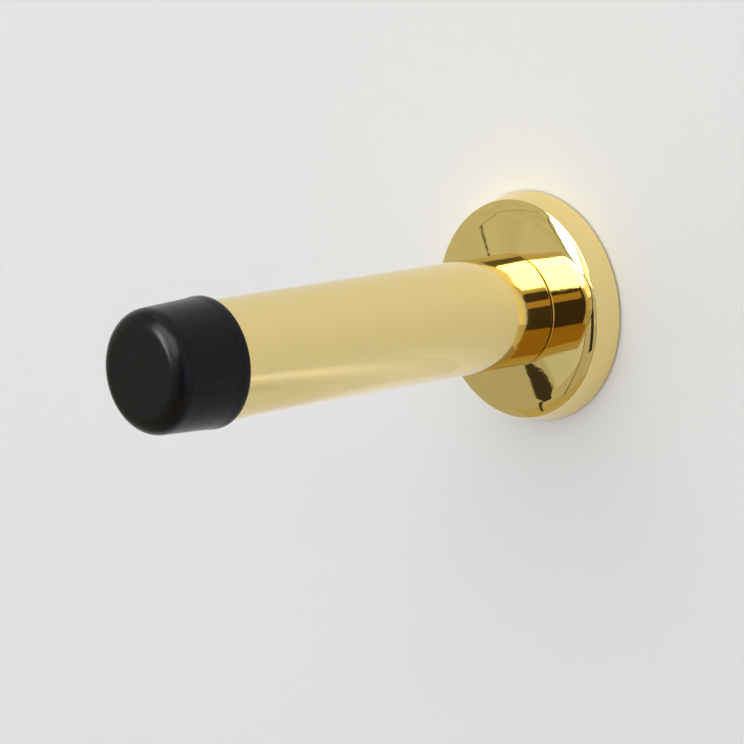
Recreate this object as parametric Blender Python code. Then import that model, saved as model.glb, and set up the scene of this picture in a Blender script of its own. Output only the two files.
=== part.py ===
"""Wall-mounted projection door stop with a concealed fixing and a rubber buffer cap.

The origin is the centre of the rose on the wall plane. The wall is the plane y = 0, -Y points out
of the wall towards the door and +Z is up. Profiles are given as (radius, depth) points, where
depth is the distance from the wall towards the door. All sizes are in metres.
"""

import math

import bmesh
import bpy
from mathutils import Matrix

MM = 0.001

# Overall sizes
PROJECTION = 87.1 * MM  # wall to the front of the rubber
ROSE_DIAMETER = 39.3 * MM  # at the wall
ROSE_THICKNESS = 5.5 * MM  # wall to the rose's front face
TUBE_DIAMETER = 19.0 * MM

# Rose, a hollow brass cover
ROSE_WALL = 1.5 * MM
ROSE_LEAN = 1.15 * MM  # how much the side leans in between the wall and the arris
ROSE_SEAT_MARGIN = 0.1 * MM  # width of the flat seat that shows around the tube
ROSE_DOME = 3.3  # degrees that the face slopes back, from its seat to the shoulder
ROSE_SHOULDER = 3.0 * MM  # width of the curve between the face and the arris
ROSE_EDGE_SLOPE = 21.5  # degrees that the shoulder slopes back at the arris
ROSE_REAR_EDGE = 0.25 * MM
ROSE_INNER_FILLET = 1.0 * MM

# Projection tube
TUBE_WALL = 1.2 * MM
TUBE_EDGE = 0.2 * MM  # chamfer at both ends

# Threaded joint between the fixing stud and the tube's insert
STUD_DIAMETER = 8.0 * MM
STUD_CHAMFER = 0.8 * MM
STUD_SOCKET = 4.0 * MM  # across the flats of the hexagon socket
STUD_SOCKET_DEPTH = 3.0 * MM
THREAD_ENGAGEMENT = 8.0 * MM
INSERT_LENGTH = 11.0 * MM
INSERT_RECESS = 0.3 * MM  # how far the insert sits inside the tube's end
INSERT_CHAMFER = 0.8 * MM

# Fixing plate with its central boss
PLATE_THICKNESS = 2.4 * MM
PLATE_CLEARANCE = 0.6 * MM  # between the plate's edge and the inside of the rose
PLATE_CHAMFER = 0.3 * MM
BOSS_WALL = 1.6 * MM
BOSS_SETBACK = 0.5 * MM  # the boss stops short of the rose's front face by this much
BLIND_FLOOR = 1.0 * MM  # steel left behind the stud

# Countersunk wood screws
SCREW_LENGTH = 30.0 * MM
SCREW_HEAD_DIAMETER = 7.6 * MM
SCREW_SHANK_DIAMETER = 4.0 * MM
SCREW_TIP_LENGTH = 5.0 * MM
SCREW_TIP_DIAMETER = 0.5 * MM
SCREW_HEAD_RIM = 0.3 * MM
SCREW_SETBACK = 0.1 * MM  # the head sits below the plate's front by this much
RECESS_SPAN = 4.2 * MM
RECESS_SLOT = 1.0 * MM
RECESS_DEPTH = 1.7 * MM
RECESS_TAPER = 0.4  # the recess's span at its floor as a share of its span at the mouth

# Nylon wall plugs
PLUG_LENGTH = 30.0 * MM
PLUG_DIAMETER = 7.0 * MM
PLUG_SETBACK = 2.5 * MM  # the plugs are pushed this far below the wall's surface
PLUG_COLLAR = 5.0 * MM  # smooth length at the mouth
PLUG_RIBS = 6
PLUG_RIB_HEIGHT = 0.45 * MM
PLUG_SLOT = 1.2 * MM
PLUG_SPLIT_FREE = 6.0 * MM  # length at the mouth that isn't split

# Spigot that closes the tube's front end and carries the cap
SPIGOT_SEAT = 9.0 * MM  # length inside the tube
SPIGOT_CHAMFER = 0.8 * MM

# Rubber buffer cap
CAP_LENGTH = 13.7 * MM
CAP_FRONT_STEP = 0.38 * MM  # how far the cap stands proud of the tube, at its front
CAP_BODY_STEP = 0.8 * MM  # the same, just ahead of the bead
CAP_BEAD_STEP = 0.95 * MM  # the same, at the bead on its rear edge
CAP_BEAD_LENGTH = 1.2 * MM
CAP_WALL = 3.1 * MM  # rubber around the spigot, at the front
CAP_FACE = 3.6 * MM  # rubber between the spigot and the door
CAP_EDGE = 2.95 * MM  # radius of the front edge
CAP_LAP = 1.2 * MM  # how far the bead laps over the tube

FIT_GAP = 0.3 * MM  # clearance between neighbouring pieces

ROUND = 72  # segments of the large round pieces
SMALL_ROUND = 32  # segments of the stud, screws and plugs

TUBE_RADIUS = TUBE_DIAMETER / 2
TUBE_BORE = TUBE_RADIUS - TUBE_WALL
TUBE_REAR = ROSE_THICKNESS + FIT_GAP
CAP_REAR = PROJECTION - CAP_LENGTH
TUBE_FRONT = CAP_REAR + CAP_LAP
CAP_BORE = TUBE_RADIUS + CAP_FRONT_STEP - CAP_WALL
SPIGOT_RADIUS = CAP_BORE - FIT_GAP
CAP_FLOOR = PROJECTION - CAP_FACE
STUD_RADIUS = STUD_DIAMETER / 2
STUD_END = TUBE_REAR + INSERT_RECESS + THREAD_ENGAGEMENT
BOSS_BORE = STUD_RADIUS + FIT_GAP
BOSS_RADIUS = BOSS_BORE + BOSS_WALL
ROSE_RADIUS = ROSE_DIAMETER / 2
ROSE_ARRIS = ROSE_RADIUS - ROSE_LEAN
ROSE_INSIDE = ROSE_ARRIS - ROSE_WALL
ROSE_BORE = BOSS_RADIUS + FIT_GAP
PLATE_RADIUS = ROSE_INSIDE - PLATE_CLEARANCE
SCREW_OFFSET = (BOSS_RADIUS + PLATE_RADIUS) / 2
SCREW_FRONT = PLATE_THICKNESS - SCREW_SETBACK
SHANK_RADIUS = SCREW_SHANK_DIAMETER / 2
HEAD_RADIUS = SCREW_HEAD_DIAMETER / 2
SCREW_HOLE = SHANK_RADIUS + FIT_GAP
PLUG_RADIUS = PLUG_DIAMETER / 2


def clear_scene():
    for item in list(bpy.data.objects):
        bpy.data.objects.remove(item, do_unlink=True)


def material(name, colour, roughness, metallic):
    made = bpy.data.materials.new(name)
    made.use_nodes = True
    shader = made.node_tree.nodes["Principled BSDF"]
    shader.inputs["Base Color"].default_value = (*colour, 1.0)
    shader.inputs["Roughness"].default_value = roughness
    shader.inputs["Metallic"].default_value = metallic
    return made


def arc(centre, radius, start, end, steps):
    """Points along an arc: 0 degrees points away from the axis and 90 towards the door."""
    angles = [math.radians(start + (end - start) * i / steps) for i in range(steps + 1)]
    return [
        (centre[0] + radius * math.cos(a), centre[1] + radius * math.sin(a)) for a in angles
    ]


def body(name):
    """An empty on the stop's axis that carries the pieces of one moving body."""
    made = bpy.data.objects.new(name, None)
    made.empty_display_size = TUBE_RADIUS
    bpy.context.collection.objects.link(made)
    return made


def add_object(name, shape, finish=None, parent=None):
    mesh = bpy.data.meshes.new(name)
    shape.to_mesh(mesh)
    shape.free()
    mesh.shade_smooth()
    mesh.set_sharp_from_angle(angle=math.radians(30))
    made = bpy.data.objects.new(name, mesh)
    bpy.context.collection.objects.link(made)
    if finish:
        mesh.materials.append(finish)
    made.parent = parent
    return made


def turned(profile, segments, closed):
    """A piece turned about the Y axis. An open profile starts and ends on the axis."""
    shape = bmesh.new()
    points = [shape.verts.new((radius, -depth, 0.0)) for radius, depth in profile]
    pairs = list(zip(points, points[1:]))
    if closed:
        pairs.append((points[-1], points[0]))
    edges = [shape.edges.new(pair) for pair in pairs]
    bmesh.ops.spin(
        shape,
        geom=points + edges,
        cent=(0, 0, 0),
        axis=(0, 1, 0),
        angle=math.tau,
        steps=segments,
        use_merge=True,
    )
    bmesh.ops.remove_doubles(shape, verts=shape.verts, dist=0.001 * MM)
    bmesh.ops.recalc_face_normals(shape, faces=shape.faces)
    return shape


def cut(target, tool):
    """Cuts the tool out of the target, and keeps the tool as a hidden wire shape."""
    tool.hide_render = True
    tool.display_type = "WIRE"
    modifier = target.modifiers.new(tool.name, "BOOLEAN")
    modifier.operation = "DIFFERENCE"
    modifier.solver = "EXACT"
    modifier.object = tool


def rose_cover(finish, parent):
    """A hollow cover: a seat for the tube, a slightly domed face, a shoulder, an arris and a leaning side."""
    seat = TUBE_RADIUS + ROSE_SEAT_MARGIN
    face_edge = ROSE_ARRIS - ROSE_SHOULDER
    dome = math.radians(ROSE_DOME)
    edge = math.radians(ROSE_EDGE_SLOPE)
    edge_depth = ROSE_THICKNESS - (face_edge - seat) * math.tan(dome)
    radius = ROSE_SHOULDER / (math.sin(edge) - math.sin(dome))
    centre = (face_edge - radius * math.sin(dome), edge_depth - radius * math.cos(dome))
    face_back = ROSE_THICKNESS - ROSE_WALL
    fillet = ROSE_INNER_FILLET
    profile = [
        (ROSE_BORE, ROSE_THICKNESS),
        (seat, ROSE_THICKNESS),
        *arc(centre, radius, 90 - ROSE_DOME, 90 - ROSE_EDGE_SLOPE, 8),
        (ROSE_RADIUS, ROSE_REAR_EDGE),
        (ROSE_RADIUS - ROSE_REAR_EDGE, 0.0),
        (ROSE_INSIDE, 0.0),
        *arc((ROSE_INSIDE - fillet, face_back - fillet), fillet, 0, 90, 6),
        (ROSE_BORE, face_back),
    ]
    return add_object("rose_cover", turned(profile, ROUND, True), finish, parent)


def fixing_plate(finish, parent):
    boss_front = ROSE_THICKNESS - BOSS_SETBACK
    profile = [
        (0.0, 0.0),
        (PLATE_RADIUS, 0.0),
        (PLATE_RADIUS, PLATE_THICKNESS - PLATE_CHAMFER),
        (PLATE_RADIUS - PLATE_CHAMFER, PLATE_THICKNESS),
        (BOSS_RADIUS, PLATE_THICKNESS),
        (BOSS_RADIUS, boss_front - PLATE_CHAMFER),
        (BOSS_RADIUS - PLATE_CHAMFER, boss_front),
        (BOSS_BORE, boss_front),
        (BOSS_BORE, BLIND_FLOOR),
        (0.0, BLIND_FLOOR),
    ]
    plate = add_object("fixing_plate", turned(profile, ROUND, False), finish, parent)
    for side, x in screw_places():
        tool = add_object(f"countersink_{side}", turned(countersink_profile(), SMALL_ROUND, False))
        tool.location.x = x
        cut(plate, tool)
    return plate


def screw_places():
    """Each screw's side and its distance along X from the stop's axis."""
    return [("left", -SCREW_OFFSET), ("right", SCREW_OFFSET)]


def countersink_profile():
    """A screw hole and its countersink, which follow the screw's head a fit gap away."""
    past = 1.0 * MM
    mouth = HEAD_RADIUS + FIT_GAP
    cone_top = PLATE_THICKNESS - SCREW_SETBACK - SCREW_HEAD_RIM
    cone_foot = cone_top - (mouth - SCREW_HOLE)
    return [
        (0.0, -past),
        (SCREW_HOLE, -past),
        (SCREW_HOLE, cone_foot),
        (mouth, cone_top),
        (mouth, PLATE_THICKNESS + past),
        (0.0, PLATE_THICKNESS + past),
    ]


def fixing_stud(finish, parent):
    rear = BLIND_FLOOR + FIT_GAP
    profile = [
        (0.0, rear),
        (STUD_RADIUS - STUD_CHAMFER, rear),
        (STUD_RADIUS, rear + STUD_CHAMFER),
        (STUD_RADIUS, STUD_END - STUD_CHAMFER),
        (STUD_RADIUS - STUD_CHAMFER, STUD_END),
        (0.0, STUD_END),
    ]
    stud = add_object("fixing_stud", turned(profile, SMALL_ROUND, False), finish, parent)
    past = 1.0 * MM
    radius = STUD_SOCKET / 2 / math.cos(math.pi / 6)
    hexagon = bmesh.new()
    bmesh.ops.create_cone(
        hexagon,
        cap_ends=True,
        segments=6,
        radius1=radius,
        radius2=radius,
        depth=STUD_SOCKET_DEPTH + past,
        matrix=Matrix.Rotation(math.pi / 2, 4, "X"),
    )
    tool = add_object("stud_socket", hexagon)
    tool.location.y = -(STUD_END + (past - STUD_SOCKET_DEPTH) / 2)
    cut(stud, tool)
    return stud


def threaded_insert(finish, parent):
    rear = TUBE_REAR + INSERT_RECESS
    front = rear + INSERT_LENGTH
    outside = TUBE_BORE - FIT_GAP
    bore = STUD_RADIUS + FIT_GAP
    profile = [
        (bore + INSERT_CHAMFER, rear),
        (outside, rear),
        (outside, front - INSERT_CHAMFER),
        (outside - INSERT_CHAMFER, front),
        (bore, front),
        (bore, rear + INSERT_CHAMFER),
    ]
    return add_object("threaded_insert", turned(profile, ROUND, True), finish, parent)


def projection_tube(finish, parent):
    profile = [
        (TUBE_BORE, TUBE_REAR),
        (TUBE_RADIUS - TUBE_EDGE, TUBE_REAR),
        (TUBE_RADIUS, TUBE_REAR + TUBE_EDGE),
        (TUBE_RADIUS, TUBE_FRONT - TUBE_EDGE),
        (TUBE_RADIUS - TUBE_EDGE, TUBE_FRONT),
        (TUBE_BORE, TUBE_FRONT),
    ]
    return add_object("projection_tube", turned(profile, ROUND, True), finish, parent)


def nose_spigot(finish, parent):
    """A plug in the tube's front end, whose narrower nose fills the rubber cap."""
    rear = TUBE_FRONT - SPIGOT_SEAT
    front = CAP_FLOOR - FIT_GAP
    seat = TUBE_BORE - FIT_GAP
    profile = [
        (0.0, rear),
        (seat - SPIGOT_CHAMFER, rear),
        (seat, rear + SPIGOT_CHAMFER),
        (seat, TUBE_FRONT),
        (SPIGOT_RADIUS, TUBE_FRONT),
        (SPIGOT_RADIUS, front - SPIGOT_CHAMFER),
        (SPIGOT_RADIUS - SPIGOT_CHAMFER, front),
        (0.0, front),
    ]
    return add_object("nose_spigot", turned(profile, ROUND, False), finish, parent)


def buffer_cap(finish, parent):
    front = TUBE_RADIUS + CAP_FRONT_STEP
    waist = TUBE_RADIUS + CAP_BODY_STEP
    bead = TUBE_RADIUS + CAP_BEAD_STEP
    bead_radius = CAP_BEAD_LENGTH / 2
    step = CAP_REAR + CAP_LAP + FIT_GAP
    profile = [
        (0.0, PROJECTION),
        *arc((front - CAP_EDGE, PROJECTION - CAP_EDGE), CAP_EDGE, 90, 0, 8),
        (waist, CAP_REAR + 1.6 * CAP_BEAD_LENGTH),
        *arc((bead - bead_radius, CAP_REAR + bead_radius), bead_radius, 60, -90, 8),
        (TUBE_RADIUS + FIT_GAP, CAP_REAR),
        (TUBE_RADIUS + FIT_GAP, step),
        (CAP_BORE, step),
        (CAP_BORE, CAP_FLOOR),
        (0.0, CAP_FLOOR),
    ]
    return add_object("buffer_cap", turned(profile, ROUND, False), finish, parent)


def wood_screw(side, x, finish, parent):
    cone_top = SCREW_FRONT - SCREW_HEAD_RIM
    tip = SCREW_FRONT - SCREW_LENGTH
    profile = [
        (0.0, SCREW_FRONT),
        (HEAD_RADIUS, SCREW_FRONT),
        (HEAD_RADIUS, cone_top),
        (SHANK_RADIUS, cone_top - (HEAD_RADIUS - SHANK_RADIUS)),
        (SHANK_RADIUS, tip + SCREW_TIP_LENGTH),
        (SCREW_TIP_DIAMETER / 2, tip),
        (0.0, tip),
    ]
    screw = add_object(f"wood_screw_{side}", turned(profile, SMALL_ROUND, False), finish, parent)
    screw.location.x = x
    tool = add_object(f"recess_{side}", cross_recess())
    tool.location.x = x
    cut(screw, tool)
    return screw


def cross_recess():
    """A tapered cross that opens past the screw head's front."""
    past = 0.5 * MM
    arm = RECESS_SPAN / 2
    half = RECESS_SLOT / 2
    corner = [(arm, -half), (arm, half), (half, half)]
    quarter_turns = [(1, 0), (0, 1), (-1, 0), (0, -1)]
    outline = [(x * c - z * s, x * s + z * c) for c, s in quarter_turns for x, z in corner]
    slope = (1 - RECESS_TAPER) / RECESS_DEPTH
    shape = bmesh.new()
    rings = []
    for depth, share in (
        (SCREW_FRONT - RECESS_DEPTH, RECESS_TAPER),
        (SCREW_FRONT + past, 1 + slope * past),
    ):
        rings.append([shape.verts.new((x * share, -depth, z * share)) for x, z in outline])
    for i, low in enumerate(rings[0]):
        after = (i + 1) % len(outline)
        shape.faces.new((low, rings[0][after], rings[1][after], rings[1][i]))
    shape.faces.new(rings[0])
    shape.faces.new(rings[1])
    bmesh.ops.recalc_face_normals(shape, faces=shape.faces)
    return shape


def wall_plug(side, x, finish, parent):
    """A split nylon plug with saw-tooth ribs, in the wall behind the plate."""
    mouth = -PLUG_SETBACK
    tip = mouth - PLUG_LENGTH
    bore = SHANK_RADIUS + FIT_GAP
    valley = PLUG_RADIUS - PLUG_RIB_HEIGHT
    pitch = (PLUG_LENGTH - PLUG_COLLAR) / PLUG_RIBS
    profile = [(bore, mouth), (PLUG_RADIUS, mouth), (PLUG_RADIUS, mouth - PLUG_COLLAR)]
    for i in range(PLUG_RIBS):
        start = mouth - PLUG_COLLAR - i * pitch
        profile += [(valley, start - 0.2 * pitch), (PLUG_RADIUS, start - 0.9 * pitch)]
    profile += [(valley, tip), (bore, tip)]
    plug = add_object(f"wall_plug_{side}", turned(profile, SMALL_ROUND, True), finish, parent)
    plug.location.x = x
    past = 1.0 * MM
    split = PLUG_LENGTH - PLUG_SPLIT_FREE
    slot = bmesh.new()
    bmesh.ops.create_cube(slot, size=1.0)
    bmesh.ops.scale(slot, vec=(PLUG_SLOT, split + past, PLUG_DIAMETER + 2 * past), verts=slot.verts)
    tool = add_object(f"plug_split_{side}", slot)
    tool.location = (x, -(tip + (split - past) / 2), 0.0)
    cut(plug, tool)
    return plug


def main():
    clear_scene()
    brass = (0.83, 0.62, 0.24)
    polished_tube = material("polished_brass_tube", brass, 0.08, 1.0)
    polished_rose = material("polished_brass_rose", brass, 0.07, 1.0)
    turned_brass = material("turned_brass", (0.72, 0.55, 0.27), 0.35, 1.0)
    spigot_brass = material("spigot_brass", (0.70, 0.53, 0.26), 0.32, 1.0)
    black_rubber = material("black_rubber", (0.016, 0.016, 0.017), 0.5, 0.0)
    plated_steel = material("plated_steel", (0.60, 0.61, 0.62), 0.35, 1.0)
    stud_steel = material("stud_steel", (0.52, 0.52, 0.53), 0.3, 1.0)

    wall_fixing = body("wall_fixing")
    rose = body("rose")
    rose.parent = wall_fixing
    projection = body("projection")
    projection.parent = rose
    buffer = body("buffer")
    buffer.parent = projection

    fixing_plate(plated_steel, wall_fixing)
    fixing_stud(stud_steel, wall_fixing)
    for side, x in screw_places():
        screw_finish = material(f"zinc_screw_{side}", (0.66, 0.62, 0.52), 0.3, 1.0)
        plug_finish = material(f"nylon_{side}", (0.55, 0.56, 0.57), 0.55, 0.0)
        wood_screw(side, x, screw_finish, wall_fixing)
        wall_plug(side, x, plug_finish, wall_fixing)
    rose_cover(polished_rose, rose)
    threaded_insert(turned_brass, projection)
    projection_tube(polished_tube, projection)
    nose_spigot(spigot_brass, projection)
    buffer_cap(black_rubber, buffer)


main()
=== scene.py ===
"""The looks of a wall-mounted brass door stop with a rubber buffer cap.

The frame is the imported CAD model: origin on the wall plane, -Y towards the door, +Z up, metres.
Profiles are (radius, depth) points, where depth is the distance from the wall towards the door.
"""

import math

import bmesh
import bpy
from mathutils import Matrix, Vector


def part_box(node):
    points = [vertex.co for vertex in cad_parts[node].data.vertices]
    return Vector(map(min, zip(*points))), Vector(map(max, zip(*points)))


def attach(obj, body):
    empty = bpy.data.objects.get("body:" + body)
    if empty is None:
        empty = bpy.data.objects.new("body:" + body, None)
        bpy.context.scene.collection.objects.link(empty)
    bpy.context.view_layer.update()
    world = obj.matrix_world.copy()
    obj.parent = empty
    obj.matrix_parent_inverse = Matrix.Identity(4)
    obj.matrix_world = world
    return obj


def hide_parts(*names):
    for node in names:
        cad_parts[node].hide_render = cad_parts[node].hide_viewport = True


MM = 0.001
TAU = math.tau

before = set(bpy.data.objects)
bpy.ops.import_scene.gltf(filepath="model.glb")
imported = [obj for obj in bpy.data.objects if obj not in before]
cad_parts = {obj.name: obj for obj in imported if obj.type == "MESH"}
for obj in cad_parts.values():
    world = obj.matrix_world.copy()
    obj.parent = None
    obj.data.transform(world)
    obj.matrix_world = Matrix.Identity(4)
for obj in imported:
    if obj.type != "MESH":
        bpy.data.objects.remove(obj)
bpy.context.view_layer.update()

# Camera: the point it is fitted about, its direction and distance from there, and where it shows that point
VIEW_TARGET = Vector((0.0, -0.04136, 0.0))
VIEW_AZIMUTH = 46.288  # degrees
VIEW_ELEVATION = 11.008
VIEW_DISTANCE = 0.5593
VIEW_LENS = 167.93
SENSOR = 36.0
TARGET_SIDE = -0.020027  # right of the picture's centre, as a share of its width
TARGET_RISE = 0.047970

# Rose: details that are finer than the CAD
ROSE_LEAN = 1.15 * MM
ROSE_SHOULDER = 3.0 * MM
ROSE_DOME = math.radians(3.3)  # the face's slope outside the tube, before its shoulder
ROSE_EDGE_SLOPE = math.radians(21.5)
ROSE_WALL = 1.5 * MM
ROSE_BORE = 6.2 * MM
ARRIS_ROUND = 0.22 * MM

# Tube, cap and spigot
TUBE_WALL = 1.2 * MM
TUBE_EDGE = 0.22 * MM
SEAM_CLOSED = 0.12 * MM  # how far the tube's rear end is brought towards the rose, for a fine seam
CAP_NOSE_PROUD = 0.38 * MM
CAP_WAIST_PROUD = 0.8 * MM
CAP_WALL = 3.1 * MM
CAP_EDGE = 2.95 * MM
SPIGOT_NOSE = 6.48 * MM
SPIGOT_GROOVE = 0.35 * MM
GAP = 0.3 * MM

# Threads
THREAD_PITCH = 1.25 * MM
THREAD_DEPTH = 0.6 * MM
INSERT_CREST = 4.3 * MM
SOCKET_ACROSS = 4.0 * MM
SOCKET_DEEP = 3.0 * MM

# Fixing plate, its screws and their plugs
PLATE_THICK = 2.4 * MM
PLATE_FLOOR = 1.0 * MM
BOSS_RADIUS = 5.9 * MM
BOSS_BORE = 4.3 * MM
SCREW_HOLE = 2.3 * MM
SCREW_SHANK = 2.0 * MM
SCREW_ROOT = 1.35 * MM
SCREW_PITCH = 1.8 * MM
SCREW_HEAD_LIP = 0.3 * MM
PLUG_BORE = 2.3 * MM
PLUG_TEETH = 6
PAST = 1.0 * MM  # how far a cutter reaches past the surface it cuts

# Mesh detail
ROUND = 256
FINE_ROUND = 128
SMALL_ROUND = 96
POLE = 0.5e-6  # a ring this small is a single point on the axis


# ---------------------------------------------------------------- mesh helpers


def arc(centre, radius, start, end, steps):
    """Points along an arc: 0 degrees points away from the axis and 90 towards the door."""
    angles = [math.radians(start + (end - start) * i / steps) for i in range(steps + 1)]
    return [(centre[0] + radius * math.cos(a), centre[1] + radius * math.sin(a)) for a in angles]


def rounded(points, closed=False, steps=5):
    """Rounds a profile's corners. A point is (radius, depth) or (radius, depth, corner radius)."""
    out = []
    count = len(points)
    for i, point in enumerate(points):
        here = Vector(point[:2])
        size = point[2] if len(point) > 2 else 0.0
        at_end = not closed and i in (0, count - 1)
        if size <= 0 or at_end:
            out.append(tuple(here))
            continue
        before = (Vector(points[i - 1][:2]) - here).normalized()
        after = (Vector(points[(i + 1) % count][:2]) - here).normalized()
        half = before.angle(after) / 2
        reach = size / math.tan(half)
        centre = here + (before + after).normalized() * (size / math.sin(half))
        first = here + before * reach - centre
        last = here + after * reach - centre
        sweep = first.angle_signed(last)
        for step in range(steps + 1):
            turn = Matrix.Rotation(-sweep * step / steps, 2)
            out.append(tuple(centre + turn @ first))
    return out


def new_object(name, mesh, finish, sharp=35):
    mesh.name = name
    mesh.shade_smooth()
    mesh.set_sharp_from_angle(angle=math.radians(sharp))
    mesh.materials.append(finish)
    made = bpy.data.objects.new(name, mesh)
    bpy.context.scene.collection.objects.link(made)
    return made


def mesh_from(shape, name):
    mesh = bpy.data.meshes.new(name)
    shape.to_mesh(mesh)
    shape.free()
    return mesh


def grid_mesh(rows, closed_rows):
    """A surface through rings of points. A ring of one point is a pole."""
    shape = bmesh.new()
    rings = [[shape.verts.new(point) for point in row] for row in rows]
    pairs = list(zip(rings, rings[1:]))
    if closed_rows:
        pairs.append((rings[-1], rings[0]))
    for low, high in pairs:
        count = max(len(low), len(high))
        for i in range(count):
            j = (i + 1) % count
            corners = [low[i % len(low)], low[j % len(low)], high[j % len(high)], high[i % len(high)]]
            loop = [c for k, c in enumerate(corners) if c is not corners[k - 1]]
            if len(loop) > 2:
                shape.faces.new(loop)
    bmesh.ops.recalc_face_normals(shape, faces=shape.faces)
    return mesh_from(shape, "mesh")


def guarded(profile, closed):
    """Adds a ring close to both ends of each long straight run, so that its shading stays straight."""
    guard = 0.03 * MM
    out = []
    for i, point in enumerate(profile):
        out.append(point)
        if i == len(profile) - 1 and not closed:
            break
        here = Vector(point)
        there = Vector(profile[(i + 1) % len(profile)])
        run = there - here
        if run.length > 0.6 * MM:
            step = run.normalized() * guard
            out += [tuple(here + step), tuple(there - step)]
    return out


def turned(profile, segments, closed, x=0.0):
    """A piece turned about an axis along Y. An open profile starts and ends on the axis."""
    rows = []
    for radius, depth in guarded(profile, closed):
        if radius < POLE:
            rows.append([(x, -depth, 0.0)])
            continue
        angles = [TAU * i / segments for i in range(segments)]
        rows.append([(x + radius * math.cos(a), -depth, radius * math.sin(a)) for a in angles])
    return grid_mesh(rows, closed)


def threaded(profile_rows, segments, closed, x=0.0):
    """A turned piece with threads: a row is (radius, depth), or a function of the turn that gives it."""
    rows = []
    for row in profile_rows:
        if not callable(row) and row[0] < POLE:
            rows.append([(x, -row[1], 0.0)])
            continue
        ring = []
        for i in range(segments):
            turn = i / segments
            radius, depth = row(turn) if callable(row) else row
            ring.append((x + radius * math.cos(TAU * turn), -depth, radius * math.sin(TAU * turn)))
        rows.append(ring)
    return grid_mesh(rows, closed)


def thread_rows(start, end, pitch, crest, root, crest_share, steps_per_turn, fade):
    """Rows of a helical thread between two depths, which fades into its root at both ends."""
    count = int(round((end - start) / pitch * steps_per_turn))

    def row_at(index):
        def row(turn):
            depth = start + (end - start) * index / count
            phase = (depth / pitch - turn) % 1.0
            away = abs(phase - 0.5) * 2
            height = min(1.0, max(0.0, (1.0 - away) / (1.0 - crest_share)))
            near = min(depth - start, end - depth)
            height *= min(1.0, max(0.0, near / fade))
            return root + (crest - root) * height, depth

        return row

    return [row_at(i) for i in range(count + 1)]


def cut(target, *tools):
    """Cuts the tools out of the target for good and deletes them."""
    for tool in tools:
        modifier = target.modifiers.new("cut", "BOOLEAN")
        modifier.operation = "DIFFERENCE"
        modifier.solver = "EXACT"
        modifier.object = tool
    bpy.context.view_layer.update()
    depsgraph = bpy.context.evaluated_depsgraph_get()
    cut_mesh = bpy.data.meshes.new_from_object(target.evaluated_get(depsgraph))
    target.modifiers.clear()
    old = target.data
    target.data = cut_mesh
    target.data.name = target.name
    bpy.data.meshes.remove(old)
    for tool in tools:
        bpy.data.objects.remove(tool, do_unlink=True)
    target.data.shade_smooth()
    target.data.set_sharp_from_angle(angle=math.radians(35))


def stand_for(piece, node, body):
    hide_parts(node)
    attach(piece, body)


# ---------------------------------------------------------------- materials


def new_material(name):
    made = bpy.data.materials.new(name)
    made.use_nodes = True
    nodes = made.node_tree.nodes
    return made, nodes, made.node_tree.links, nodes["Principled BSDF"]


def noise(nodes, links, source, scale, detail, rough=0.5, stretch=None):
    """A noise texture in object space, with the space stretched along an axis where given."""
    made = nodes.new("ShaderNodeTexNoise")
    made.inputs["Scale"].default_value = scale
    made.inputs["Detail"].default_value = detail
    made.inputs["Roughness"].default_value = rough
    if stretch:
        mapping = nodes.new("ShaderNodeMapping")
        mapping.inputs["Scale"].default_value = stretch
        links.new(source, mapping.inputs["Vector"])
        source = mapping.outputs["Vector"]
    links.new(source, made.inputs["Vector"])
    return made.outputs["Fac"]


def spread(nodes, links, source, low, high, from_low=0.0, from_high=1.0):
    made = nodes.new("ShaderNodeMapRange")
    made.inputs["From Min"].default_value = from_low
    made.inputs["From Max"].default_value = from_high
    made.inputs["To Min"].default_value = low
    made.inputs["To Max"].default_value = high
    links.new(source, made.inputs["Value"])
    return made.outputs["Result"]


def blend_colours(nodes, links, source, first, second):
    made = nodes.new("ShaderNodeMix")
    made.data_type = "RGBA"
    made.inputs["A"].default_value = (*first, 1.0)
    made.inputs["B"].default_value = (*second, 1.0)
    links.new(source, made.inputs["Factor"])
    return made.outputs["Result"]


def bump(nodes, links, shader, height, strength, distance):
    made = nodes.new("ShaderNodeBump")
    made.inputs["Strength"].default_value = strength
    made.inputs["Distance"].default_value = distance
    links.new(height, made.inputs["Height"])
    links.new(made.outputs["Normal"], shader.inputs["Normal"])
    return made


def cylindrical(nodes, links, coordinates):
    """Coordinates (angle, depth, radius) about the stop's axis, so that marks can run around it."""
    parts = nodes.new("ShaderNodeSeparateXYZ")
    links.new(coordinates, parts.inputs["Vector"])
    angle = nodes.new("ShaderNodeMath")
    angle.operation = "ARCTAN2"
    links.new(parts.outputs["Z"], angle.inputs[0])
    links.new(parts.outputs["X"], angle.inputs[1])
    flat = nodes.new("ShaderNodeCombineXYZ")
    links.new(parts.outputs["X"], flat.inputs["X"])
    links.new(parts.outputs["Z"], flat.inputs["Y"])
    radius = nodes.new("ShaderNodeVectorMath")
    radius.operation = "LENGTH"
    links.new(flat.outputs["Vector"], radius.inputs[0])
    joined = nodes.new("ShaderNodeCombineXYZ")
    links.new(angle.outputs["Value"], joined.inputs["X"])
    links.new(parts.outputs["Y"], joined.inputs["Y"])
    links.new(radius.outputs["Value"], joined.inputs["Z"])
    return joined.outputs["Vector"]


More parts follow.
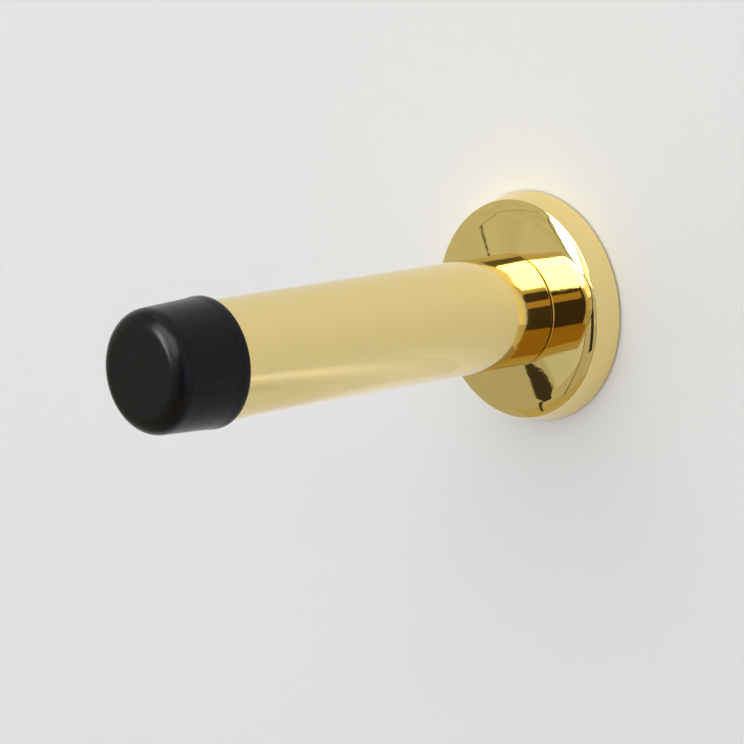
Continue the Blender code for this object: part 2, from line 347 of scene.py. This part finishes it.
def polished_brass(name, roughness, peel_strength):
    """Mirror-polished, lacquered brass: hairline buffing marks around the axis and a slight orange peel."""
    made, nodes, links, shader = new_material(name)
    place = nodes.new("ShaderNodeTexCoord").outputs["Object"]
    around = cylindrical(nodes, links, place)
    cloud = noise(nodes, links, place, 90.0, 3.0)
    tint = blend_colours(nodes, links, cloud, (0.86, 0.69, 0.288), (0.83, 0.668, 0.298))
    links.new(tint, shader.inputs["Base Color"])
    shader.inputs["Metallic"].default_value = 1.0
    hairlines = noise(nodes, links, around, 1.0, 3.0, 0.6, (2.0, 9000.0, 9000.0))
    gloss = spread(nodes, links, hairlines, roughness * 0.7, roughness * 1.4, 0.3, 0.7)
    links.new(gloss, shader.inputs["Roughness"])
    peel = noise(nodes, links, place, 900.0, 3.0, 0.6)
    bump(nodes, links, shader, peel, peel_strength, 0.00002)
    return made


def turned_metal(name, dark, light, roughness, mark_scale, metallic=1.0):
    """Metal as it comes off the lathe, with fine tool marks around the axis."""
    made, nodes, links, shader = new_material(name)
    place = nodes.new("ShaderNodeTexCoord").outputs["Object"]
    around = cylindrical(nodes, links, place)
    cloud = noise(nodes, links, place, 260.0, 4.0, 0.6)
    tint = blend_colours(nodes, links, cloud, dark, light)
    links.new(tint, shader.inputs["Base Color"])
    shader.inputs["Metallic"].default_value = metallic
    marks = noise(nodes, links, around, 1.0, 2.0, 0.5, (1.5, mark_scale, mark_scale))
    gloss = spread(nodes, links, marks, roughness * 0.75, roughness * 1.3, 0.3, 0.7)
    links.new(gloss, shader.inputs["Roughness"])
    bump(nodes, links, shader, marks, 0.35, 0.00004)
    return made


def satin_rubber(name):
    """Moulded black rubber with a fine matt grain."""
    made, nodes, links, shader = new_material(name)
    place = nodes.new("ShaderNodeTexCoord").outputs["Object"]
    cloud = noise(nodes, links, place, 140.0, 4.0, 0.6)
    tint = blend_colours(nodes, links, cloud, (0.0032, 0.0034, 0.0045), (0.0058, 0.006, 0.0072))
    links.new(tint, shader.inputs["Base Color"])
    grain = noise(nodes, links, place, 5200.0, 2.0)
    gloss = spread(nodes, links, grain, 0.22, 0.29, 0.3, 0.7)
    links.new(gloss, shader.inputs["Roughness"])
    shader.inputs["Specular IOR Level"].default_value = 0.16
    bump(nodes, links, shader, grain, 0.10, 0.00003)
    return made


def moulded_nylon(name):
    made, nodes, links, shader = new_material(name)
    place = nodes.new("ShaderNodeTexCoord").outputs["Object"]
    cloud = noise(nodes, links, place, 220.0, 4.0, 0.6)
    tint = blend_colours(nodes, links, cloud, (0.40, 0.41, 0.42), (0.50, 0.51, 0.52))
    links.new(tint, shader.inputs["Base Color"])
    grain = noise(nodes, links, place, 2600.0, 3.0)
    gloss = spread(nodes, links, grain, 0.42, 0.58, 0.3, 0.7)
    links.new(gloss, shader.inputs["Roughness"])
    shader.inputs["Subsurface Weight"].default_value = 0.08
    shader.inputs["Subsurface Radius"].default_value = (0.001, 0.001, 0.001)
    bump(nodes, links, shader, grain, 0.15, 0.00005)
    return made


BRASS_TUBE = polished_brass("polished_brass_tube", 0.075, 0.3)
BRASS_ROSE = polished_brass("polished_brass_rose", 0.022, 0.1)
BRASS_TURNED = turned_metal("turned_brass", (0.62, 0.45, 0.19), (0.74, 0.56, 0.27), 0.30, 14000.0)
STEEL_PLATE = turned_metal("plated_steel", (0.52, 0.53, 0.55), (0.64, 0.65, 0.66), 0.30, 11000.0)
STEEL_STUD = turned_metal("stud_steel", (0.40, 0.40, 0.41), (0.55, 0.55, 0.56), 0.28, 9000.0)
ZINC_SCREW = turned_metal("zinc_screw", (0.60, 0.53, 0.34), (0.72, 0.66, 0.48), 0.26, 7000.0)
RUBBER = satin_rubber("black_rubber")
NYLON = moulded_nylon("grey_nylon")


# ---------------------------------------------------------------- pieces


def rose_cover():
    low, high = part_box("rose_cover")
    radius = high.x
    thick = -low.y
    arris = radius - ROSE_LEAN
    inside = arris - ROSE_WALL
    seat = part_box("projection_tube")[1].x + 0.1 * MM
    start = arris - ROSE_SHOULDER
    drop = (start - seat) * math.tan(ROSE_DOME)
    curve = ROSE_SHOULDER / (math.sin(ROSE_EDGE_SLOPE) - math.sin(ROSE_DOME))
    centre = (start - curve * math.sin(ROSE_DOME), thick - drop - curve * math.cos(ROSE_DOME))
    shoulder = arc(centre, curve, 90 - math.degrees(ROSE_DOME), 90 - math.degrees(ROSE_EDGE_SLOPE), 24)
    points = [
        (ROSE_BORE, thick, 0.15 * MM),
        (seat, thick, 0.6 * MM),
        *shoulder[:-1],
        (*shoulder[-1], ARRIS_ROUND),
        (radius, 0.0, 0.2 * MM),
        (inside, 0.0, 0.15 * MM),
        (inside, thick - ROSE_WALL, 1.0 * MM),
        (ROSE_BORE, thick - ROSE_WALL, 0.15 * MM),
    ]
    profile = rounded(points, closed=True)
    piece = new_object("rose", turned(profile, ROUND, True), BRASS_ROSE, 50)
    stand_for(piece, "rose_cover", "rose")


def projection_tube():
    low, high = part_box("projection_tube")
    radius = high.x
    bore = radius - TUBE_WALL
    rear = -high.y - SEAM_CLOSED
    front = -low.y
    points = [
        (bore, rear, 0.15 * MM),
        (radius, rear, TUBE_EDGE),
        (radius, front, 0.2 * MM),
        (bore, front, 0.15 * MM),
    ]
    profile = rounded(points, closed=True)
    piece = new_object("tube", turned(profile, ROUND, True), BRASS_TUBE, 50)
    stand_for(piece, "projection_tube", "projection")


def buffer_cap():
    low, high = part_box("buffer_cap")
    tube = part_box("projection_tube")[1].x
    front = -low.y
    rear = -high.y
    bead = high.x
    nose = tube + CAP_NOSE_PROUD
    waist = tube + CAP_WAIST_PROUD
    lap = -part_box("projection_tube")[0].y + GAP
    bore = nose - CAP_WALL
    floor = -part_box("nose_spigot")[0].y + GAP
    points = [
        *arc((nose - CAP_EDGE, front - CAP_EDGE), CAP_EDGE, 90, 0, 24),
        (waist, rear + 2.1 * MM, 1.5 * MM),
        (bead, rear + 0.9 * MM, 0.5 * MM),
        (bead, rear, 0.35 * MM),
        (tube + 0.12 * MM, rear, 0.1 * MM),
        (tube + GAP, lap, 0.1 * MM),
        (bore, lap, 0.2 * MM),
        (bore, floor, 0.8 * MM),
    ]
    profile = [(0.0, front)] + rounded(points) + [(0.0, floor)]
    piece = new_object("buffer", turned(profile, ROUND, False), RUBBER, 60)
    stand_for(piece, "buffer_cap", "buffer")


def nose_spigot():
    low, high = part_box("nose_spigot")
    tube_front = -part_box("projection_tube")[0].y
    seat = high.x
    rear = -high.y
    front = -low.y
    valley = SPIGOT_NOSE - SPIGOT_GROOVE
    points = [
        (seat, rear, 0.7 * MM),
        (seat, tube_front, 0.15 * MM),
        (SPIGOT_NOSE, tube_front, 0.2 * MM),
        (SPIGOT_NOSE, tube_front + 2.6 * MM, 0.1 * MM),
        (valley, tube_front + 2.9 * MM, 0.1 * MM),
        (valley, tube_front + 4.1 * MM, 0.1 * MM),
        (SPIGOT_NOSE, tube_front + 4.4 * MM, 0.1 * MM),
        (SPIGOT_NOSE, front, 0.8 * MM),
    ]
    profile = rounded([(0.0, rear), *points, (0.0, front)])
    piece = new_object("spigot", turned(profile, ROUND, False), BRASS_TURNED, 40)
    stand_for(piece, "nose_spigot", "projection")


def threaded_insert():
    low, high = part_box("threaded_insert")
    outside = high.x
    rear = -high.y
    front = -low.y
    crest = INSERT_CREST
    root = crest + THREAD_DEPTH * 0.8
    lead = 0.8 * MM
    rows = [(crest + lead, rear), (outside - 0.2 * MM, rear), (outside, rear + 0.2 * MM)]
    rows += [(outside, front - 0.8 * MM), (outside - 0.8 * MM, front), (crest + lead, front)]
    helix = thread_rows(rear + lead, front - lead, THREAD_PITCH, crest, root, 0.2, 14, 0.6 * MM)
    rows += reversed(helix)
    piece = new_object("insert", threaded(rows, FINE_ROUND, True), BRASS_TURNED, 35)
    stand_for(piece, "threaded_insert", "projection")


def fixing_stud():
    low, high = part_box("fixing_stud")
    crest = high.x
    rear = -high.y
    front = -low.y
    root = crest - THREAD_DEPTH
    chamfer = 0.75 * MM
    rows = [(0.0, rear), (root - 0.1 * MM, rear), (root, rear + 0.1 * MM)]
    rows += thread_rows(rear + 0.2 * MM, front - chamfer, THREAD_PITCH, crest, root, 0.18, 16, 0.7 * MM)
    rows += [(root - 0.3 * MM, front - 0.15 * MM), (root - 0.45 * MM, front), (0.0, front)]
    piece = new_object("stud", threaded(rows, FINE_ROUND, False), STEEL_STUD, 32)
    corner = SOCKET_ACROSS / 2 / math.cos(math.pi / 6)
    length = SOCKET_DEEP + PAST
    middle = Matrix.Translation((0, -(front + PAST - length / 2), 0))
    socket = bmesh.new()
    bmesh.ops.create_cone(
        socket,
        cap_ends=True,
        segments=6,
        radius1=corner,
        radius2=corner,
        depth=length,
        matrix=middle @ Matrix.Rotation(math.pi / 2, 4, "X"),
    )
    mesh = mesh_from(socket, "socket")
    sunk = front - 0.35 * MM
    above = front + 0.2 * MM
    mouth = turned([(0.0, sunk), (2.2 * MM, sunk), (2.75 * MM, above), (0.0, above)], SMALL_ROUND, False)
    cut(piece, new_object("socket", mesh, STEEL_STUD), new_object("mouth", mouth, STEEL_STUD))
    stand_for(piece, "fixing_stud", "wall_fixing")


def screw_places():
    """Each screw's side, the place of its axis, its head's radius, and the depths of its tip and top."""
    for side in ("left", "right"):
        low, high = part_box(f"wood_screw_{side}")
        x = (low.x + high.x) / 2
        yield side, x, high.x - x, -high.y, -low.y


def fixing_plate():
    low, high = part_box("fixing_plate")
    radius = high.x
    front = PLATE_THICK
    boss_front = -low.y
    chamfer = 0.25 * MM
    points = [
        (radius, 0.0, 0.15 * MM),
        (radius, front, 0.35 * MM),
        (BOSS_RADIUS, front, 0.3 * MM),
        (BOSS_RADIUS, boss_front, 0.35 * MM),
        (BOSS_BORE + chamfer, boss_front, 0.05 * MM),
        (BOSS_BORE, boss_front - chamfer, 0.05 * MM),
        (BOSS_BORE, PLATE_FLOOR, 0.1 * MM),
    ]
    profile = rounded([(0.0, 0.0), *points, (0.0, PLATE_FLOOR)])
    piece = new_object("plate", turned(profile, ROUND, False), STEEL_PLATE, 35)
    tools = []
    for side, x, head, _, top in screw_places():
        mouth = head + GAP
        rim = top - SCREW_HEAD_LIP
        edge = 0.12 * MM
        outline = [
            (0.0, -PAST),
            (SCREW_HOLE, -PAST),
            (SCREW_HOLE, rim - (mouth - SCREW_HOLE)),
            (mouth, rim),
            (mouth, front - edge),
            (mouth + edge, front),
            (mouth + edge, front + PAST),
            (0.0, front + PAST),
        ]
        tools.append(new_object(f"hole_{side}", turned(outline, SMALL_ROUND, False, x), STEEL_PLATE))
    cut(piece, *tools)
    stand_for(piece, "fixing_plate", "wall_fixing")


def cross_cutter(x, top, span, slot, deep, taper):
    """A cross-shaped cutter that narrows from the screw's top to the given share at its foot."""
    past = 0.5 * MM
    corner = [(span / 2, -slot / 2), (span / 2, slot / 2), (slot / 2, slot / 2)]
    turns = [(1, 0), (0, 1), (-1, 0), (0, -1)]
    outline = [(a * c - b * s, a * s + b * c) for c, s in turns for a, b in corner]
    slope = (1 - taper) / deep
    levels = [(top - deep - 0.35 * MM, 0.05), (top - deep, taper), (top + past, 1 + slope * past)]
    rows = [[(x + a * k, -depth, b * k) for a, b in outline] for depth, k in levels]
    rows = [[(x, -levels[0][0], 0.0)], *rows[1:], [(x, -levels[-1][0], 0.0)]]
    return grid_mesh(rows, False)


def wood_screws():
    for side, x, head, tip, top in screw_places():
        neck = top - SCREW_HEAD_LIP - (head - SCREW_SHANK)
        start = neck - 8.5 * MM
        taper = 5.0 * MM
        count = int(round((start - tip) / SCREW_PITCH * 18))

        def thread(index):
            def row(turn):
                depth = start - (start - tip - 0.05 * MM) * index / count
                phase = (depth / SCREW_PITCH - turn) % 1.0
                away = abs(phase - 0.5) * 2
                height = max(0.0, 1.0 - away / 0.42)
                share = min(1.0, (depth - tip) / taper) ** 0.75
                fade = min(1.0, (start - depth) / (0.8 * MM))
                low = SCREW_ROOT * share
                return low + (SCREW_SHANK * share - low) * height * fade, depth

            return row

        plain = SCREW_SHANK - 0.05 * MM
        rows = [(0.0, top), (head - 0.12 * MM, top), (head, top - 0.1 * MM), (head, top - SCREW_HEAD_LIP)]
        rows += [(plain, neck), (plain, start + 1.2 * MM), (SCREW_ROOT, start + 0.1 * MM)]
        rows += [thread(i) for i in range(count)]
        rows += [(0.0, tip)]
        piece = new_object(f"screw_{side}", threaded(rows, SMALL_ROUND, False, x), ZINC_SCREW, 32)
        recess = cross_cutter(x, top, 4.2 * MM, 1.0 * MM, 1.7 * MM, 0.4)
        cut(piece, new_object(f"recess_{side}", recess, ZINC_SCREW))
        stand_for(piece, f"wood_screw_{side}", "wall_fixing")


def wall_plugs():
    for side in ("left", "right"):
        low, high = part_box(f"wall_plug_{side}")
        x = (low.x + high.x) / 2
        radius = high.x - x
        mouth = -low.y
        tip = -high.y
        valley = radius - 0.45 * MM
        collar = mouth - 5.0 * MM
        pitch = (collar - tip) / PLUG_TEETH
        points = [(PLUG_BORE, mouth, 0.3 * MM), (radius, mouth, 0.25 * MM), (radius, collar, 0.1 * MM)]
        for i in range(PLUG_TEETH):
            top = collar - i * pitch
            points += [(valley, top - 0.2 * pitch, 0.12 * MM), (radius, top - 0.9 * pitch, 0.12 * MM)]
        points += [(valley, tip, 0.3 * MM), (PLUG_BORE, tip, 0.15 * MM)]
        profile = rounded(points, closed=True, steps=3)
        piece = new_object(f"plug_{side}", turned(profile, SMALL_ROUND, True, x), NYLON, 40)
        split = (mouth - tip) - 6.0 * MM
        slot = bmesh.new()
        bmesh.ops.create_cube(slot, size=1.0)
        bmesh.ops.scale(slot, vec=(1.2 * MM, split + PAST, (radius + PAST) * 2), verts=slot.verts)
        bmesh.ops.translate(slot, vec=(x, -(tip + (split - PAST) / 2), 0.0), verts=slot.verts)
        cut(piece, new_object(f"slot_{side}", mesh_from(slot, "slot"), NYLON))
        stand_for(piece, f"wall_plug_{side}", "wall_fixing")


rose_cover()
projection_tube()
buffer_cap()
nose_spigot()
threaded_insert()
fixing_stud()
fixing_plate()
wood_screws()
wall_plugs()


# ---------------------------------------------------------------- studio

STAGE_REACH = 3.0
FLOOR = -0.6


def painted_wall():
    """A pale wall behind the stop. Seen from behind it is clear, so that the fixings show."""
    made, nodes, links, shader = new_material("painted_wall")
    shader.inputs["Base Color"].default_value = (0.80, 0.80, 0.80, 1.0)
    shader.inputs["Roughness"].default_value = 0.75
    place = nodes.new("ShaderNodeTexCoord").outputs["Object"]
    grain = noise(nodes, links, place, 700.0, 3.0)
    bump(nodes, links, shader, grain, 0.15, 0.0001)
    clear = nodes.new("ShaderNodeBsdfTransparent")
    mix = nodes.new("ShaderNodeMixShader")
    facing = nodes.new("ShaderNodeNewGeometry").outputs["Backfacing"]
    links.new(facing, mix.inputs["Fac"])
    links.new(shader.outputs["BSDF"], mix.inputs[1])
    links.new(clear.outputs["BSDF"], mix.inputs[2])
    links.new(mix.outputs["Shader"], nodes["Material Output"].inputs["Surface"])
    return made


def panel(name, corners, faces, finish):
    mesh = bpy.data.meshes.new(name)
    mesh.from_pydata(corners, [], faces)
    mesh.materials.append(finish)
    made = bpy.data.objects.new(name, mesh)
    bpy.context.scene.collection.objects.link(made)
    return made


def wall_with_opening(finish):
    """The wall, open where the fixing plate covers it, so that light reaches the plate's back."""
    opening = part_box("fixing_plate")[1].x - 0.2 * MM
    depth = 0.2 * MM
    count = 96
    turns = [(math.cos(TAU * i / count), math.sin(TAU * i / count)) for i in range(count)]
    inner = [(opening * c, depth, opening * s) for c, s in turns]
    reaches = [STAGE_REACH / max(abs(c), abs(s)) for c, s in turns]
    outer = [(reach * c, depth, reach * s) for reach, (c, s) in zip(reaches, turns)]
    faces = [(i, count + i, count + (i + 1) % count, (i + 1) % count) for i in range(count)]
    return panel("wall", inner + outer, faces, finish)


def towards(azimuth, elevation):
    """A unit vector in degrees: azimuth from -Y towards +X, and elevation."""
    a, e = math.radians(azimuth), math.radians(elevation)
    return Vector((math.sin(a) * math.cos(e), -math.cos(a) * math.cos(e), math.sin(e)))


def glowing(name, radiance):
    """A soft, slightly uneven glow."""
    made = bpy.data.materials.new(name)
    made.use_nodes = True
    nodes, links = made.node_tree.nodes, made.node_tree.links
    nodes.remove(nodes["Principled BSDF"])
    glow = nodes.new("ShaderNodeEmission")
    place = nodes.new("ShaderNodeTexCoord").outputs["Object"]
    cloud = noise(nodes, links, place, 5.0, 2.0)
    dim = tuple(0.8 * value for value in radiance)
    full = tuple(1.2 * value for value in radiance)
    links.new(blend_colours(nodes, links, cloud, dim, full), glow.inputs["Color"])
    links.new(glow.outputs["Emission"], nodes["Material Output"].inputs["Surface"])
    return made


def for_mirrors(card):
    """Only gloss shows the card, on brass and faintly on the wall. It casts no shadow."""
    card.visible_camera = False
    card.visible_diffuse = False
    card.visible_shadow = False
    card.visible_transmission = False


def reflected_card(name, distance, azimuths, elevations, radiance, slant=0.0):
    """A glowing patch of a sphere around the stop. Angles are in degrees, and slant moves its foot."""
    steps = 12
    corners = []
    for i in range(steps + 1):
        rise = i / steps
        elevation = elevations[0] + (elevations[1] - elevations[0]) * rise
        for k in range(steps + 1):
            azimuth = azimuths[0] + (azimuths[1] - azimuths[0]) * k / steps + slant * (1 - rise)
            corners.append(towards(azimuth, elevation) * distance)
    row = steps + 1
    starts = [i * row + k for i in range(steps) for k in range(steps)]
    faces = [(n, n + 1, n + row + 1, n + row) for n in starts]
    for_mirrors(panel(name, corners, faces, glowing(name, radiance)))


def reflected_strip(name, low, middle, high, near_end, far_end, radiance):
    """A soft strip just off the wall, brightest at its middle height. Lengths are in millimetres.

    It fades in along near_end, from the first place to the second, and stops at far_end.
    """
    depth = -0.4 * MM
    ends = (near_end[0] * MM, far_end * MM)
    corners = [(ends[0], depth, low * MM), (ends[1], depth, low * MM)]
    corners += [(ends[1], depth, high * MM), (ends[0], depth, high * MM)]
    made = glowing(name, radiance)
    nodes, links = made.node_tree.nodes, made.node_tree.links
    parts = nodes.new("ShaderNodeSeparateXYZ")
    links.new(nodes["Texture Coordinate"].outputs["Object"], parts.inputs["Vector"])
    share = None
    for axis, start, end in (("Z", low, middle), ("Z", high, middle), ("X", *near_end)):
        fade = nodes.new("ShaderNodeMapRange")
        fade.interpolation_type = "SMOOTHSTEP"
        fade.inputs["From Min"].default_value = start * MM
        fade.inputs["From Max"].default_value = end * MM
        links.new(parts.outputs[axis], fade.inputs["Value"])
        if share is None:
            share = fade.outputs["Result"]
            continue
        product = nodes.new("ShaderNodeMath")
        product.operation = "MULTIPLY"
        links.new(share, product.inputs[0])
        links.new(fade.outputs["Result"], product.inputs[1])
        share = product.outputs["Value"]
    clear = nodes.new("ShaderNodeBsdfTransparent")
    mix = nodes.new("ShaderNodeMixShader")
    links.new(share, mix.inputs["Fac"])
    links.new(clear.outputs["BSDF"], mix.inputs[1])
    links.new(nodes["Emission"].outputs["Emission"], mix.inputs[2])
    links.new(mix.outputs["Shader"], nodes["Material Output"].inputs["Surface"])
    for_mirrors(panel(name, corners, [(0, 1, 2, 3)], made))


def reflections():
    """The room as the brass mirrors it, fitted to the photo's view. Nearer cards cover the ones behind."""
    reflected_card("room", 2.8, (-88, 62), (-62, 62), (0.60, 0.58, 0.45))
    reflected_card("room_low", 0.585, (-88, 22), (-57, -11), (0.50, 0.47, 0.36))
    reflected_card("right_side", 2.2, (56, 96), (-80, 80), (1.1, 1.08, 1.0))
    reflected_card("window", 2.1, (56, 67), (-50, 50), (0.85, 1.0, 1.9))
    reflected_card("room_glow", 0.57, (-38.5, -23), (-18, -11), (0.61, 0.60, 0.54))
    reflected_card("ceiling", 2.4, (-96, 62), (54, 89), (1.2, 1.2, 1.2))
    reflected_card("ground", 0.59, (-96, 96), (-89, -55), (0.38, 0.35, 0.3))
    reflected_card("softbox", 1.2, (-28, 18), (16, 54), (6.0, 6.0, 6.0))
    reflected_card("softbox_middle", 1.2, (18, 30), (21, 54), (6.0, 6.0, 6.0))
    reflected_card("softbox_end", 1.2, (30, 42), (27, 52), (6.0, 6.0, 6.0), -4)
    reflected_card("front_panel", 1.15, (-27, -14), (3, 25), (20.0, 20.5, 21.0))
    reflected_card("front_glow", 1.16, (-12, 16), (2, 16), (1.5, 1.45, 1.3))
    reflected_card("flag_left", 1.15, (-50, -31), (30, 54), (0.13, 0.12, 0.09))
    reflected_card("camera_side", 1.3, (22, 56), (-27, 30), (0.045, 0.038, 0.03))
    reflected_card("warm_patch", 1.25, (28, 53), (8, 17), (0.5, 0.34, 0.14))
    reflected_card("low_right", 0.55, (2, 58), (-52, -25), (0.34, 0.2, 0.035), -12)
    reflected_card("low_left", 0.56, (-50, 30), (-56, -30), (0.50, 0.41, 0.2))
    reflected_card("low_line", 0.5, (-22, -20.5), (-31, -12), (0.16, 0.12, 0.07), -5)
    reflected_card("dark_band", 0.5, (-10, -4), (-20, 2), (0.03, 0.03, 0.03))
    reflected_card("dark_streak", 0.5, (-42, -39), (-26, -16), (0.05, 0.04, 0.025), 4.5)
    reflected_card("dark_tail", 0.5, (-39.5, -38), (-38, -24), (0.08, 0.06, 0.03))
    reflected_card("frame_left", 0.9, (-48.1, -47.8), (-8, 5), (0.1, 0.08, 0.05), 0.8)
    reflected_card("frame_top", 0.9, (-34, -33.6), (5, 18), (0.12, 0.1, 0.06), -14)
    reflected_card("frame_right", 0.9, (-30, -29.3), (0, 18), (0.03, 0.03, 0.02))
    reflected_strip("pale_wall", -75, -42, -10, (80, 25), -60, (0.80, 0.82, 0.95))
    reflected_strip("moulding_ridge", -61, -46, -32, (-5, 65), 240, (0.95, 0.96, 1.06))
    reflected_strip("moulding_groove", -88, -71, -60, (20, 85), 240, (0.57, 0.57, 0.52))


def soft_lamp(name, size, energy, place, target):
    """A square or oblong area lamp. Brass shows the cards in its stead."""
    data = bpy.data.lights.new(name, "AREA")
    data.shape = "RECTANGLE"
    data.size, data.size_y = size
    data.energy = energy
    made = bpy.data.objects.new(name, data)
    bpy.context.scene.collection.objects.link(made)
    made.location = place
    made.rotation_euler = (Vector(target) - made.location).to_track_quat("-Z", "Y").to_euler()
    made.visible_glossy = False


def studio():
    scene = bpy.context.scene
    scene.view_settings.view_transform = "Standard"
    world = bpy.data.worlds.new("studio")
    scene.world = world
    world.use_nodes = True
    back = world.node_tree.nodes["Background"]
    back.inputs["Color"].default_value = (0.985, 0.99, 1.0, 1.0)
    back.inputs["Strength"].default_value = 0.66

    wall_with_opening(painted_wall())
    floor, nodes, links, shader = new_material("pale_floor")
    shader.inputs["Base Color"].default_value = (0.77, 0.77, 0.77, 1.0)
    shader.inputs["Roughness"].default_value = 0.7
    reach = STAGE_REACH
    corners = [(-reach, -reach, FLOOR), (reach, -reach, FLOOR), (reach, 0, FLOOR), (-reach, 0, FLOOR)]
    panel("floor", corners, [(0, 1, 2, 3)], floor)

    soft_lamp("key", (1.8, 1.6), 7.0, (-0.2, -1.1, 1.1), (0, -0.04, 0))
    soft_lamp("fill", (1.5, 1.5), 4.0, (-0.9, -1.1, -0.45), (-0.1, 0, -0.1))
    reflections()


def camera():
    data = bpy.data.cameras.new("camera")
    data.lens = VIEW_LENS
    data.sensor_width = SENSOR
    data.clip_start = 0.01
    made = bpy.data.objects.new("camera", data)
    bpy.context.scene.collection.objects.link(made)
    back = towards(VIEW_AZIMUTH, VIEW_ELEVATION)
    right = towards(VIEW_AZIMUTH + 90, 0)
    up = back.cross(right)
    picture = VIEW_DISTANCE * SENSOR / VIEW_LENS  # the picture's width at the target
    place = VIEW_TARGET + back * VIEW_DISTANCE
    place -= (right * TARGET_SIDE + up * TARGET_RISE) * picture
    matrix = Matrix((right, up, back)).transposed().to_4x4()
    matrix.translation = place
    made.matrix_world = matrix
    bpy.context.scene.camera = made


studio()
camera()
